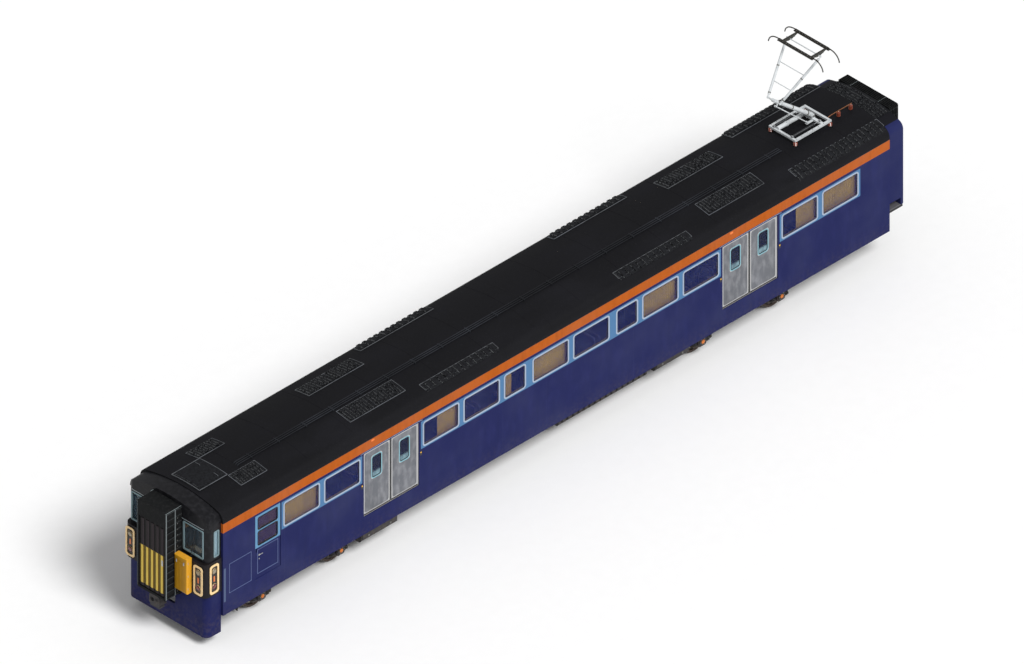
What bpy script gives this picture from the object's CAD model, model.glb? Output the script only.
"""Driving car of an electric multiple unit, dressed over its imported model. Lengths are in metres; X runs
forward to the cab, Y to the car's left side and Z up from the wheel flanges. Each section is one piece or
one group of like pieces."""

import math

import bmesh
import bpy
import numpy as np
from mathutils import Matrix, Vector


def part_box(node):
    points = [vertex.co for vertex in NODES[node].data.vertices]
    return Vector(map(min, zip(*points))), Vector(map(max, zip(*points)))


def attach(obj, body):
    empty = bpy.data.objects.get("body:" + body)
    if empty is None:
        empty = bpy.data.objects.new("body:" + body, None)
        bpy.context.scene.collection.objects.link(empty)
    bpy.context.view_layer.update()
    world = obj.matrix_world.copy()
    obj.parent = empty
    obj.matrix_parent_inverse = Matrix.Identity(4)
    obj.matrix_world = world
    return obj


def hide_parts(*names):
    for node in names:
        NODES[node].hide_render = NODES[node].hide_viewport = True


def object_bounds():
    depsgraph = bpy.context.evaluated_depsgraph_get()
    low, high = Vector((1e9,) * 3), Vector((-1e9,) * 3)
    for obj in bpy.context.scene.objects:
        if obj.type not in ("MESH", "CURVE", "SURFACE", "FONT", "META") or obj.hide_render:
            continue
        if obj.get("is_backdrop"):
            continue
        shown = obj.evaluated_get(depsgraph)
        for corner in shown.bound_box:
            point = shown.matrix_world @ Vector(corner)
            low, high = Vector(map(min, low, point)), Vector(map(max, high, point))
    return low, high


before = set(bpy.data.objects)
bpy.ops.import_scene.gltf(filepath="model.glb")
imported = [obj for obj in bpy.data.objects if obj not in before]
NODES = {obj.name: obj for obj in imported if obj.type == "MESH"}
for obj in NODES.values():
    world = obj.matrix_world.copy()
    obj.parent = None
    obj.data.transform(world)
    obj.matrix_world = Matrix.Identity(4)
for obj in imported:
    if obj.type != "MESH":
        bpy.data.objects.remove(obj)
solid_low, solid_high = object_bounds()
SCENE = bpy.context.scene


# ---- Camera ----------------------------------------------------------
# A view from ahead, above and to the left: all three axes are foreshortened alike, with no perspective.
VIEW_DISTANCE, VIEW_WIDTH, BELOW_CENTRE = 60, 23.9, 0.28
back = Vector((1, 1, 1)).normalized()
right = Vector((-1, 1, 0)).normalized()
up = back.cross(right)
camera = bpy.data.objects.new("camera", bpy.data.cameras.new("camera"))
SCENE.collection.objects.link(camera)
aim = (Vector(solid_low) + Vector(solid_high)) / 2
camera.matrix_world = Matrix((right, up, back)).transposed().to_4x4()
camera.matrix_world.translation = aim + back * VIEW_DISTANCE - up * BELOW_CENTRE
camera.data.type = "ORTHO"
camera.data.ortho_scale = VIEW_WIDTH
camera.data.clip_end = 200
SCENE.camera = camera


# ---- Studio ----------------------------------------------------------
# A wide pale floor under even daylight from a white surround, with one broad lamp high on the near side.
class Wire:
    """A value that runs between a finish's nodes. Sums, products and comparisons on it add the matching
    nodes."""

    def __init__(self, finish, socket):
        self.finish = finish
        self.socket = socket

    def math(self, operation, first, second=0.0):
        return self.finish.node("ShaderNodeMath", {"operation": operation}, {0: first, 1: second})

    def __add__(self, other):
        return self.math("ADD", self, other)

    def __sub__(self, other):
        return self.math("SUBTRACT", self, other)

    def __rsub__(self, other):
        return self.math("SUBTRACT", other, self)

    def __mul__(self, other):
        return self.math("MULTIPLY", self, other)

    def __gt__(self, other):
        return self.math("GREATER_THAN", self, other)

    def __lt__(self, other):
        return self.math("LESS_THAN", self, other)

    def __abs__(self):
        return self.math("ABSOLUTE", self)

    def __mod__(self, other):
        return self.math("FLOORED_MODULO", self, other)

    __radd__ = __add__


class Finish:
    """A material under construction. x, y and z are the place on the car; side is how far it is from the
    centre line."""

    def __init__(self, name):
        self.material = bpy.data.materials.new(name)
        self.material.use_nodes = True
        self.tree = self.material.node_tree
        self.tree.nodes.clear()
        self.place = self.node("ShaderNodeTexCoord", {}, {}, "Object")
        self.x, self.y, self.z = self.parts(self.place)
        self.side = abs(self.y)

    def node(self, kind, settings, values, out=0):
        """Adds one node: its settings first, then the values or wires of its sockets. Gives the wire from
        out."""
        node = self.tree.nodes.new(kind)
        for key, value in settings.items():
            setattr(node, key, value)
        for key, value in values.items():
            if isinstance(value, Wire):
                self.tree.links.new(value.socket, node.inputs[key])
            else:
                node.inputs[key].default_value = value
        return Wire(self, node.outputs[out])

    def parts(self, vector):
        """The vector's X, Y and Z."""
        return [self.node("ShaderNodeSeparateXYZ", {}, {0: vector}, axis) for axis in "XYZ"]

    def facing(self, axis):
        """How much the surface faces along an axis, from -1 to 1."""
        normal = self.node("ShaderNodeNewGeometry", {}, {}, "True Normal")
        return self.node("ShaderNodeSeparateXYZ", {}, {0: normal}, axis)

    def noise(self, scale, stretch=(1, 1, 1), detail=4.0):
        """Cloudy value around one half; stretch multiplies the place along each axis first."""
        at = self.node("ShaderNodeMapping", {}, {"Vector": self.place, "Scale": stretch})
        values = {"Vector": at, "Scale": scale, "Detail": detail, "Roughness": 0.55}
        return self.node("ShaderNodeTexNoise", {}, values)

    def ramp(self, value, low, high):
        """0 below low, 1 above high, smooth between."""
        values = {"Value": value, "From Min": low, "From Max": high}
        return self.node("ShaderNodeMapRange", {"interpolation_type": "SMOOTHSTEP"}, values)

    def cloud(self, scale, low, high, stretch=(1, 1, 1), detail=4.0):
        """Patches: 0 where the noise is below low, 1 where it is above high."""
        return self.ramp(self.noise(scale, stretch, detail), low, high)

    def between(self, value, low, high):
        return (value > low) * (value < high)

    def lines(self, value, pitch, width):
        """1 on lines of a width that repeat at a pitch, 0 elsewhere."""
        return self.between(value % pitch, 0.0, width)

    def mix(self, share, first, second):
        """Colour that goes from first to second as share goes from 0 to 1."""
        return self.node("ShaderNodeMix", {"data_type": "RGBA"}, {0: share, 6: first, 7: second}, 2)

    def bump(self, height, distance, under=None):
        values = {"Height": height, "Distance": distance, "Strength": 1.0}
        if under:
            values["Normal"] = under
        return self.node("ShaderNodeBump", {}, values)

    def close(self, **values):
        """Ends the finish in the one surface shader. A word's underscores stand for the spaces in a
        socket's name."""
        named = {key.replace("_", " "): value for key, value in values.items()}
        shader = self.node("ShaderNodeBsdfPrincipled", {}, named)
        out = self.tree.nodes.new("ShaderNodeOutputMaterial")
        self.tree.links.new(shader.socket, out.inputs["Surface"])
        return self.material

    def coat(self, colour, rough, grain, depth, gloss=0.5, detail=4.0, under=None):
        """Ends the finish as a coat of paint or rubber, with the scale and the depth of its grain."""
        relief = self.bump(self.noise(grain, detail=detail), depth, under)
        return self.close(Base_Color=colour, Roughness=rough, Normal=relief, Specular_IOR_Level=gloss)


def tint(red, green, blue):
    """Linear colour of a paint given by its screen values from 0 to 255."""
    share = np.array([red, green, blue]) / 255
    linear = np.where(share > 0.04045, ((share + 0.055) / 1.055) ** 2.4, share / 12.92)
    return (*linear.tolist(), 1.0)


def skin(points, round_u=False, round_v=False, ends=False):
    """Quads over one or more grids of points. Rows run along u and columns along v; round_u and round_v
    join the last to the first, and ends puts one face over the first row and one over the last."""
    points = np.asarray(points, float)
    points = points.reshape(-1, *points.shape[-3:])
    copies, rows, columns = points.shape[:3]
    number = np.arange(copies * rows * columns).reshape(copies, rows, columns)
    grid = np.concatenate([number, number[:, :1]], 1) if round_u else number
    grid = np.concatenate([grid, grid[:, :, :1]], 2) if round_v else grid
    quads = np.stack([grid[:, :-1, :-1], grid[:, 1:, :-1], grid[:, 1:, 1:], grid[:, :-1, 1:]], -1)
    faces = [quads.reshape(-1, 4)]
    if ends:
        faces += [number[:, 0], number[:, -1, ::-1]]
    return points.reshape(-1, 3), faces


def joined(name, shapes, outward=True):
    """Mesh of several skins, with every face turned outwards unless it is an open sheet."""
    corners, faces, start = [], [], 0
    for points, groups in shapes:
        faces += [face for group in groups for face in (group + start).tolist()]
        corners.append(points)
        start += len(points)
    mesh = bpy.data.meshes.new(name)
    mesh.from_pydata(np.concatenate(corners), [], faces)
    if outward:
        loose = bmesh.new()
        loose.from_mesh(mesh)
        bmesh.ops.recalc_face_normals(loose, faces=loose.faces)
        loose.to_mesh(mesh)
        loose.free()
    return mesh


def piece(name, shapes, finish, body="carbody", crease=38, closed=True):
    """One named mesh from several skins, with its finish, its body and the record's slot that its finish
    goes by."""
    mesh = joined(name, shapes, closed)
    mesh.shade_smooth()
    mesh.set_sharp_from_angle(angle=math.radians(crease))
    mesh.materials.append(finish)
    made = bpy.data.objects.new(name, mesh)
    SCENE.collection.objects.link(made)
    if body:
        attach(made, body)
    return made


def dress(finish, *nodes):
    """Gives carried-over solids their finish."""
    for node in nodes:
        solid = NODES[node]
        if not solid.material_slots:
            solid.data.materials.append(finish)
        for place in solid.material_slots:
            place.material = finish


floor_finish = Finish("studio_floor")
speck = floor_finish.noise(3.0, detail=2.0)
chalky = floor_finish.mix(speck, (0.93, 0.93, 0.93, 1), (0.96, 0.96, 0.96, 1))
floor_finish.close(Base_Color=chalky, Roughness=0.9)
FLOOR_REACH = 45
across, along = np.meshgrid(*[np.linspace(-FLOOR_REACH, FLOOR_REACH, 7)] * 2)
floor_points = np.stack([along, across, np.zeros_like(across)], -1)
floor = piece("studio_floor", [skin(floor_points)], floor_finish.material, body=None, closed=False)
floor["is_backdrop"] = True

world = bpy.data.worlds.new("daylight")
SCENE.world = world
world.use_nodes = True
sky = world.node_tree
sky.nodes.clear()
seen = sky.nodes.new("ShaderNodeLightPath")
direct = sky.nodes.new("ShaderNodeMath")
direct.operation = "MAXIMUM"
sky.links.new(seen.outputs["Is Camera Ray"], direct.inputs[0])
sky.links.new(seen.outputs["Is Transmission Ray"], direct.inputs[1])
level = sky.nodes.new("ShaderNodeMapRange")
sky.links.new(direct.outputs[0], level.inputs["Value"])
level.inputs["To Min"].default_value = 0.42
level.inputs["To Max"].default_value = 1.0
glow = sky.nodes.new("ShaderNodeBackground")
glow.inputs["Color"].default_value = (1, 1, 1, 1)
sky.links.new(level.outputs["Result"], glow.inputs["Strength"])
sky.links.new(glow.outputs[0], sky.nodes.new("ShaderNodeOutputWorld").inputs["Surface"])
SCENE.view_settings.view_transform = "Standard"

lamp = bpy.data.objects.new("key_lamp", bpy.data.lights.new("key_lamp", "SUN"))
SCENE.collection.objects.link(lamp)
lamp.data.energy = 2.8
lamp.data.angle = math.radians(24)
lamp.rotation_euler = Vector((0.10, 0.68, 0.78)).to_track_quat("Z", "Y").to_euler()


# ---- Underframe ------------------------------------------------------
# Welded steel stretches, bolsters and cross bearers under a plate floor, between two deep sole bars.
# Sprayed with a dull dark coating that holds brake dust.
nose_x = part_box("cab_skirt")[1].x
body_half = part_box("side_left")[1].y
floor_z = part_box("seat_pedestals")[0].z
FAR = 30.0  # added to a distance along the car before it is divided into pitches, so that it stays above 0
WIDE = 9.0  # the same across and up
SHEET = 0.034  # how far in from the side's face the outside paint reaches


def behind(distance):
    """X of a place that lies this far behind the front skirt face."""
    return nose_x - distance


def weather(finish, colour, fade=0.1, soot=0.3, low=1.5):
    """Old enamel: cloudy fading, rain streaks that run down it, and road dirt that thickens towards the
    sole."""
    faded = finish.mix(finish.cloud(0.7, 0.35, 0.8, detail=3.0) * fade, colour, tint(128, 134, 150))
    streak = finish.cloud(8.0, 0.52, 0.8, (1, 1, 0.06))
    streaked = finish.mix(streak * fade * 2.0, faded, tint(14, 14, 16))
    grit = (1 - finish.ramp(finish.z, 0.4, low)) * finish.cloud(11.0, 0.35, 0.75)
    return finish.mix(grit * soot, streaked, tint(94, 82, 70))


def dull(name, colour, rough=0.7, rust=0.25, pits=0.0012):
    """Dull coating over rough steel: brake dust in clouds, small rusty scabs and a pitted surface."""
    finish = Finish(name)
    scab = finish.cloud(26.0, 0.62, 0.7, detail=6.0)
    dusty = weather(finish, colour, 0.12, 0.45, 2.2)
    mottled = finish.mix(finish.noise(5.0, detail=5.0) * 0.35, dusty, tint(70, 62, 54))
    rusty = finish.mix(scab * rust, mottled, tint(98, 58, 36))
    return finish.coat(rusty, rough + scab * 0.15, 160.0, pits, 0.3, 3.0)


beam_finish = dull("underframe_coating", tint(40, 41, 44))
dress(beam_finish, "underframe", "bolsters", "cross_bearers")


# ---- Body sides and cantrails ----------------------------------------
# Sheet steel on pressed frames, with a pocket for each sliding leaf. Blue enamel outside with a pale band
# at the windows and an orange stripe under the gutter; inside, laminate lining panels.
LARGE, SMALL, POST, WIDE_POST, DOORWAY = 1.21, 0.73, 0.13, 0.21, 1.83
window_low, window_high = 2.314, 3.024
doorways = (6.033, 17.873)
main_rear = 22.47  # where the full-width body ends


def run_of_windows(start, widths, posts):
    """Starts and widths of the windows in one group: each starts where the last ends, one post further
    back."""
    widths = np.array(widths)
    starts = start + np.concatenate([[0], np.cumsum(widths[:-1] + np.array(posts))])
    return np.stack([starts, widths], 1)


middle_posts = [POST, POST, WIDE_POST, POST, WIDE_POST, POST, POST]
groups = [
    run_of_windows(2.458, [LARGE, LARGE], [POST]),
    run_of_windows(7.058, [LARGE, LARGE, SMALL, LARGE, LARGE, SMALL, LARGE, LARGE], middle_posts),
    run_of_windows(18.898, [LARGE, LARGE], [POST]),
]
windows = np.concatenate(groups)


def outlined(finish, x0, x1, z0, z1, width):
    """1 on a thin line round an upright rectangle, 0 elsewhere."""
    whole, inner = (
        finish.between(finish.x, x0 + inset, x1 - inset) * finish.between(finish.z, z0 + inset, z1 - inset)
        for inset in (0, width)
    )
    return whole * (1 - inner)


lining_colour = tint(206, 170, 116)
body_blue = tint(27, 32, 80)
line_width = 0.017
side_finish = Finish("body_blue_enamel")
outside = side_finish.side > body_half - SHEET
outside = outside + (side_finish.x > behind(0.49)) + (side_finish.x < behind(main_rear - 0.015))
enamel = weather(side_finish, body_blue, 0.06, 0.3, 1.35)
hatching = side_finish.cloud(4.5, 0.45, 0.72, (1.0, 1, 0.35), 5.0)
enamel = side_finish.mix(hatching * 0.25, enamel, tint(44, 48, 100))
band = side_finish.between(side_finish.z, window_low - 0.035, window_high + 0.035)
glazed = None
for group in groups:
    reach = side_finish.between(side_finish.x, behind(group[-1].sum() + 0.055), behind(group[0, 0] - 0.055))
    glazed = reach if glazed is None else glazed + reach
enamel = side_finish.mix(band * glazed, enamel, tint(78, 118, 158))
panel_line = outlined(side_finish, behind(1.409), behind(0.677), 1.327, 2.164, line_width)
enamel = side_finish.mix(panel_line * 0.75, enamel, tint(108, 122, 160))
edge_strip = side_finish.between(side_finish.x, behind(0.56), behind(0.50))
edge_strip = edge_strip * side_finish.between(side_finish.z, 1.15, 2.1)
enamel = side_finish.mix(edge_strip * 0.6, enamel, tint(96, 112, 140))
grime = side_finish.noise(30.0, detail=3.0)
lining = side_finish.mix(grime * 0.2, lining_colour, tint(150, 118, 74))
lining = side_finish.mix(side_finish.lines(side_finish.x + FAR, 0.96, 0.006), lining, tint(70, 58, 44))
lining = side_finish.mix(side_finish.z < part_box("floor")[0].z, lining, tint(34, 34, 40))
seam = side_finish.lines(side_finish.x + FAR, 1.44, 0.012) * 0.5 + side_finish.noise(1.6, detail=2.0)
side_paint = side_finish.mix(outside, lining, enamel)
side_finish.coat(side_paint, 0.34 + grime * 0.2, 240.0, 0.0002, 0.06, 2.0, side_finish.bump(seam, 0.0018))
dress(side_finish.material, "side_left", "side_right", "solebars")

stripe_low = 3.132
stripe_finish = Finish("stripe_orange_enamel")
shade = stripe_finish.cloud(7.0, 0.4, 0.8, (1.0, 1, 0.3), 5.0)
orange = stripe_finish.mix(shade * 0.35, tint(176, 86, 16), tint(146, 68, 14))
paint = stripe_finish.mix(stripe_finish.z > stripe_low, body_blue, orange)
paint = weather(stripe_finish, paint, 0.07, 0.0)
outside = (stripe_finish.side > body_half - SHEET) + (stripe_finish.x > behind(0.49))
paint = stripe_finish.mix(outside, lining_colour, paint)
stripe_finish.coat(paint, 0.36 + shade * 0.15, 240.0, 0.0002, 0.06, 2.0)
dress(stripe_finish.material, "cantrails")


# ---- Roof ------------------------------------------------------------
# Steel sheets rolled to one arc with turned-down shoulders, lapped every metre and a half and painted near
# black. Underneath, a pale ceiling.
LAP_PITCH = 1.5
roof_finish = Finish("roof_black_paint")
soot = roof_finish.cloud(1.1, 0.4, 0.8, (0.5, 1.4, 1), 5.0)
fleck = roof_finish.cloud(40.0, 0.55, 0.75, (1, 0.4, 1))
tar = roof_finish.mix(soot, tint(19, 19, 22), tint(26, 26, 30))
tar = roof_finish.mix(fleck * 0.3, tar, tint(44, 44, 49))
ceiling = roof_finish.mix(roof_finish.noise(12.0) * 0.15, tint(206, 196, 172), tint(160, 146, 120))
paint = roof_finish.mix(roof_finish.facing("Z") < -0.04, tar, ceiling)
lap = roof_finish.bump(roof_finish.lines(roof_finish.x + FAR, LAP_PITCH, 0.04), 0.004)
roof_finish.coat(paint, 0.62 + soot * 0.2, 90.0, 0.0008, 0.1, under=lap)
dress(roof_finish.material, "roof")

fitting_finish = Finish("roof_fitting_paint")
worn = fitting_finish.cloud(22.0, 0.4, 0.56, detail=5.0)
slat_edge = (abs(fitting_finish.facing("X")) > 0.5) * worn
paint = fitting_finish.mix(worn, tint(19, 19, 22), tint(32, 33, 36))
paint = fitting_finish.mix(slat_edge * 0.9, paint, tint(132, 134, 136))
fitting_finish.coat(paint, 0.6 + worn * 0.15, 120.0, 0.0006, 0.1)
dress(fitting_finish.material, "roof_vents")


# ---- Nose ------------------------------------------------------------
# A deep skirt, a lamp band that stands proud of it and a windscreen mask, all steel on the cab's own frame.
# Blue below, black round the lamps and screens.
def enamelled(name, colour, rough=0.34, fade=0.08, soot=0.3, gloss=0.12, shadow=None):
    """Gloss paint in one colour, weathered, with orange peel and a rougher bloom. shadow is a second colour
    in clouds."""
    finish = Finish(name)
    paint = weather(finish, colour, fade, soot, 1.4)
    if shadow:
        paint = finish.mix(finish.cloud(3.0, 0.4, 0.75, (1, 1, 0.6), 5.0) * 0.5, paint, shadow)
    bloom = finish.noise(18.0)
    waves = finish.bump(finish.noise(1.7), 0.0014)
    return finish.coat(paint, rough + bloom * 0.18, 230.0, 0.0002, gloss, 2.0, waves)


nose_blue = enamelled("nose_blue_enamel", body_blue, 0.32, 0.05, gloss=0.05, shadow=tint(24, 26, 66))
dress(nose_blue, "cab_skirt")
dress(enamelled("lamp_band_black", tint(26, 22, 22), 0.36, 0.06), "lamp_band")

mask_finish = Finish("windscreen_mask_black")
edge = mask_finish.between(mask_finish.z, 3.372, 3.388) * (mask_finish.x > behind(0.01))
dust = mask_finish.cloud(9.0, 0.4, 0.8)
paint = mask_finish.mix(dust * 0.3, tint(22, 22, 25), tint(62, 62, 66))
paint = mask_finish.mix(edge, paint, tint(158, 168, 172))
mask_finish.coat(paint, 0.35 + dust * 0.2, 200.0, 0.0002, 0.12)
dress(mask_finish.material, "windscreen_mask")
dress(enamelled("screen_frame_paint", tint(118, 140, 146), 0.4, 0.12, 0.1), "windscreen_frames")

band_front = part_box("lamp_band")[1].x
cluster_finish = Finish("lamp_cluster_cream")
stain = cluster_finish.cloud(16.0, 0.4, 0.8)
cream = cluster_finish.mix(stain * 0.5, tint(238, 206, 150), tint(196, 148, 92))
front_well = (cluster_finish.x < band_front + 0.012) * (cluster_finish.side < 1.3)
side_well = (cluster_finish.side > 1.3) * (cluster_finish.side < 1.336)
paint = cluster_finish.mix(front_well + side_well, cream, tint(24, 20, 20))
cluster_finish.coat(paint, 0.32 + cluster_finish.noise(40.0) * 0.15, 180.0, 0.0002)
dress(cluster_finish.material, "lamp_clusters")

box_low, box_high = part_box("jumper_box")
box_finish = Finish("jumper_box_yellow")
wear = box_finish.cloud(9.0, 0.5, 0.8, (1, 1, 0.4), 6.0)
front_face = box_finish.x > box_high.x - 0.012
paint = box_finish.mix(front_face * 0.8, tint(218, 158, 46), tint(150, 110, 14))
paint = box_finish.mix(wear * 0.35, paint, tint(120, 84, 26))
box_finish.coat(paint, 0.34 + wear * 0.3, 220.0, 0.0002, 0.15)
dress(box_finish.material, "jumper_box")


# ---- Front gangway ---------------------------------------------------
# A ribbed rubber and steel tunnel bolted to the nose, with a steel face plate and a ribbed end door whose
# lower part is yellow. The door hangs on one side of the passage.
gangway_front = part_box("front_gangway")[1].x
tunnel_finish = Finish("gangway_rubber")
flank = tunnel_finish.side > 0.468
hoops = tunnel_finish.between(tunnel_finish.x, nose_x + 0.2, nose_x + 0.226)
lip = flank * ((tunnel_finish.x > gangway_front - 0.028) + hoops)
ledge = tunnel_finish.between(tunnel_finish.side, 0.452, 0.468) * (tunnel_finish.z > 3.705)
ribs = tunnel_finish.lines(tunnel_finish.z - 1.2725, 0.185, 0.014) * flank
scuff = tunnel_finish.cloud(14.0, 0.45, 0.8, detail=5.0)
paint = tunnel_finish.mix(scuff * 0.4, tint(20, 21, 22), tint(58, 58, 58))
paint = tunnel_finish.mix(ribs * 0.5, paint, tint(84, 90, 92))
paint = tunnel_finish.mix((lip + ledge) * 0.8, paint, tint(126, 134, 136))
tunnel_finish.coat(paint, 0.68 + scuff * 0.2, 150.0, 0.0006, 0.1)
dress(tunnel_finish.material, "front_gangway", "rear_gangway")

leaf_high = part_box("gangway_door")[1]
leaf_finish = Finish("gangway_door_paint")
rib_side = abs(leaf_finish.facing("Y")) > 0.2
groove = leaf_finish.x < leaf_high.x - 0.009
mustard = leaf_finish.mix(rib_side, tint(208, 180, 80), tint(120, 88, 26))
mustard = leaf_finish.mix(groove * 0.85, mustard, tint(44, 34, 14))
mustard = leaf_finish.mix(leaf_finish.cloud(12.0, 0.5, 0.85, (1, 1, 0.3)) * 0.4, mustard, tint(96, 80, 34))
black = leaf_finish.mix(rib_side, tint(34, 28, 31), tint(64, 56, 60))
black = leaf_finish.mix(groove, black, tint(12, 10, 11))
paint = leaf_finish.mix(leaf_finish.between(leaf_finish.z, 1.40, 2.476), black, mustard)
leaf_finish.coat(paint, 0.42 + leaf_finish.noise(22.0) * 0.2, 200.0, 0.0003, 0.12)
dress(leaf_finish.material, "gangway_door")


# ---- Saloon doors ----------------------------------------------------
# Pairs of sliding leaves, each a pressed aluminium panel in a plain border, painted two greys, with a small
# framed window. The leaf's inner face is laminate.
leaf_names = [
    f"door_{pair}_{hand}_{end}" for pair in (1, 2) for hand in ("left", "right") for end in ("fore", "aft")
]
door_finish = Finish("door_grey_enamel")
panel = door_finish.side < body_half - 0.039
inner_face = door_finish.side < body_half - 0.064
brush = door_finish.cloud(7.0, 0.38, 0.72, (1.0, 1, 0.5), 6.0)
grey = door_finish.mix(brush * 0.7, tint(100, 102, 107), tint(140, 141, 145))
grey = weather(door_finish, door_finish.mix(panel, tint(178, 178, 178), grey), 0.1, 0.35, 1.6)
paint = door_finish.mix(inner_face, grey, tint(188, 176, 152))
door_finish.coat(paint, 0.38 + brush * 0.15, 210.0, 0.00025, 0.15)
dress(door_finish.material, *leaf_names)


# ---- Cab doors -------------------------------------------------------
# Hinged steel doors with two stacked panes in a pale surround and a pressed lower panel.
cab_finish = Finish("cab_door_enamel")
cab_low, cab_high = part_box("cab_door_left")
sash = cab_finish.between(cab_finish.z, 2.15, cab_high.z - 0.03)
line = outlined(cab_finish, cab_low.x + 0.07, cab_high.x - 0.07, 1.405, 2.095, line_width)
cab_blue = weather(cab_finish, body_blue, 0.06, 0.3, 1.35)
cab_blue = cab_finish.mix(sash, cab_blue, tint(96, 140, 174))
cab_blue = cab_finish.mix(line * 0.7, cab_blue, tint(104, 118, 158))
paint = cab_finish.mix(cab_finish.side > body_half - 0.05, lining_colour, cab_blue)
cab_finish.coat(paint, 0.34 + cab_finish.noise(18.0) * 0.18, 230.0, 0.0002, 0.06)
dress(cab_finish.material, "cab_door_left", "cab_door_right")


# ---- Windows ---------------------------------------------------------
# Double panes of tinted safety glass in pressed aluminium frames, painted a pale blue-white.
pale_finish = enamelled("window_frame_paint", tint(160, 172, 190), 0.36, 0.1, 0.2)
dress(pale_finish, "window_frames")


def glazing(name, colour, veil, rough=0.04, clearer=0.0):
    """Tinted glass with a film of dust that scatters a little light. clearer is how much clearer the panes
    are that stand in the lining."""
    finish = Finish(name)
    film = finish.cloud(3.5, 0.35, 0.85, detail=5.0)
    lining_pane = finish.side < body_half - 0.06
    return finish.close(
        Base_Color=finish.mix(film * 0.15, colour, tint(110, 120, 150)),
        Roughness=rough + film * 0.1,
        Alpha=(veil + film * 0.08) * (1 - lining_pane * clearer),
        IOR=1.5,
        Specular_IOR_Level=0.2,
    )


glass_finish = glazing("saloon_glass", tint(9, 28, 98), 0.3, clearer=0.9)
dress(glass_finish, "window_panes")
screen_glass = Finish("windscreen_glass")
quarter_light = screen_glass.side > 1.22
smear = screen_glass.cloud(3.0, 0.35, 0.85, detail=5.0)
pale_glass = screen_glass.mix(smear, tint(150, 176, 188), tint(112, 142, 160))
screen_glass.close(
    Base_Color=screen_glass.mix(quarter_light, tint(66, 88, 104), pale_glass),
    Roughness=0.05 + smear * 0.1,
    Alpha=0.2 + quarter_light * 0.5 + smear * 0.08,
    Specular_IOR_Level=0.2,
)
dress(screen_glass.material, "windscreens")


# ---- Window seals and door glass -------------------------------------
# Extruded rubber holds each pane in its frame. Door panes are single toughened sheets in the same rubber,
# and they travel with their leaves.
X_AXIS, Y_AXIS, Z_AXIS = np.eye(3)


def places(x, y, z):
    """Points from their x, y and z, where one value stands for all the points."""
    return np.stack(np.broadcast_arrays(*(np.asarray(value, float) for value in (x, y, z))), -1)


def rounded(width, height, radius, steps=5):
    """Outline of a rectangle with rounded corners, anticlockwise, as across and up: one quarter circle per
    corner, centred a radius in from both of its sides."""
    turn = np.linspace(0, math.pi / 2, steps + 1)
    corner = np.array([[1, 1], [-1, 1], [-1, -1], [1, -1]]) * (width / 2 - radius, height / 2 - radius)
    turns = turn[None] + np.arange(4)[:, None] * math.pi / 2
    return (corner[:, None] + radius * np.stack([np.cos(turns), np.sin(turns)], -1)).reshape(-1, 2)


def nested(centre, across, upward, width, height, radius, section):
    """Rounded rectangles one after another, square to one axis: for each (growth, rise) of the section, the
    outline grown by that much and lifted by that much along across x upward."""
    across, upward = np.array(across), np.array(upward)
    grid = [rounded(width + 2 * grow, height + 2 * grow, max(radius + grow, 1e-4)) for grow, _ in section]
    grid = np.stack(grid)
    rise = np.array([lift for _, lift in section])[:, None, None] * np.cross(across, upward)
    grid = grid[..., :1] * across + grid[..., 1:] * upward + rise
    return np.asarray(centre, float).reshape(-1, 1, 1, 3) + grid


def plate(centre, across, upward, width, height, depth, radius, edge=None):
    """Slab with rounded corners and chamfered faces, from the middle of its back outwards; one at each
    centre."""
    edge = min(depth, radius) * 0.4 if edge is None else edge
    section = [(-edge, 0), (0, edge), (0, depth - edge), (-edge, depth)]
    return skin(nested(centre, across, upward, width, height, radius, section), round_v=True, ends=True)


def seal(centre, across, upward, width, height, radius, section):
    """Closed ring: the section carried round a rounded rectangle, as growth and rise from it."""
    return skin(nested(centre, across, upward, width, height, radius, section), round_u=True, round_v=True)


def both_hands(*shapes):
    """The skins and their mirror images across the centre line."""
    return [*shapes, *[(points * (1, -1, 1), faces) for points, faces in shapes]]


def rubber(name, colour):
    """Extruded rubber: almost black, with a grey bloom and a fine matt grain."""
    finish = Finish(name)
    bloom = finish.cloud(20.0, 0.4, 0.8, detail=5.0)
    black = finish.mix(bloom * 0.3, colour, tint(74, 76, 78))
    return finish.coat(black, 0.6 + bloom * 0.2, 500.0, 0.0002, 0.3, 2.0)


seal_finish = rubber("glazing_rubber", tint(20, 21, 24))
window_mid = (window_low + window_high) / 2
middles = behind(windows[:, 0] + windows[:, 1] / 2)
bead = [(-0.044, 0.0), (-0.056, 0.004), (-0.056, 0.009), (-0.047, 0.011), (-0.041, 0.008), (-0.041, 0.0)]
seals = []
for width in (LARGE, SMALL):
    centres = places(middles[np.isclose(windows[:, 1], width)], body_half - 0.0085, window_mid)
    seals.append(seal(centres, -X_AXIS, Z_AXIS, width, window_high - window_low, 0.09, bead))
piece("window_seals", both_hands(*seals), seal_finish)

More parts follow.
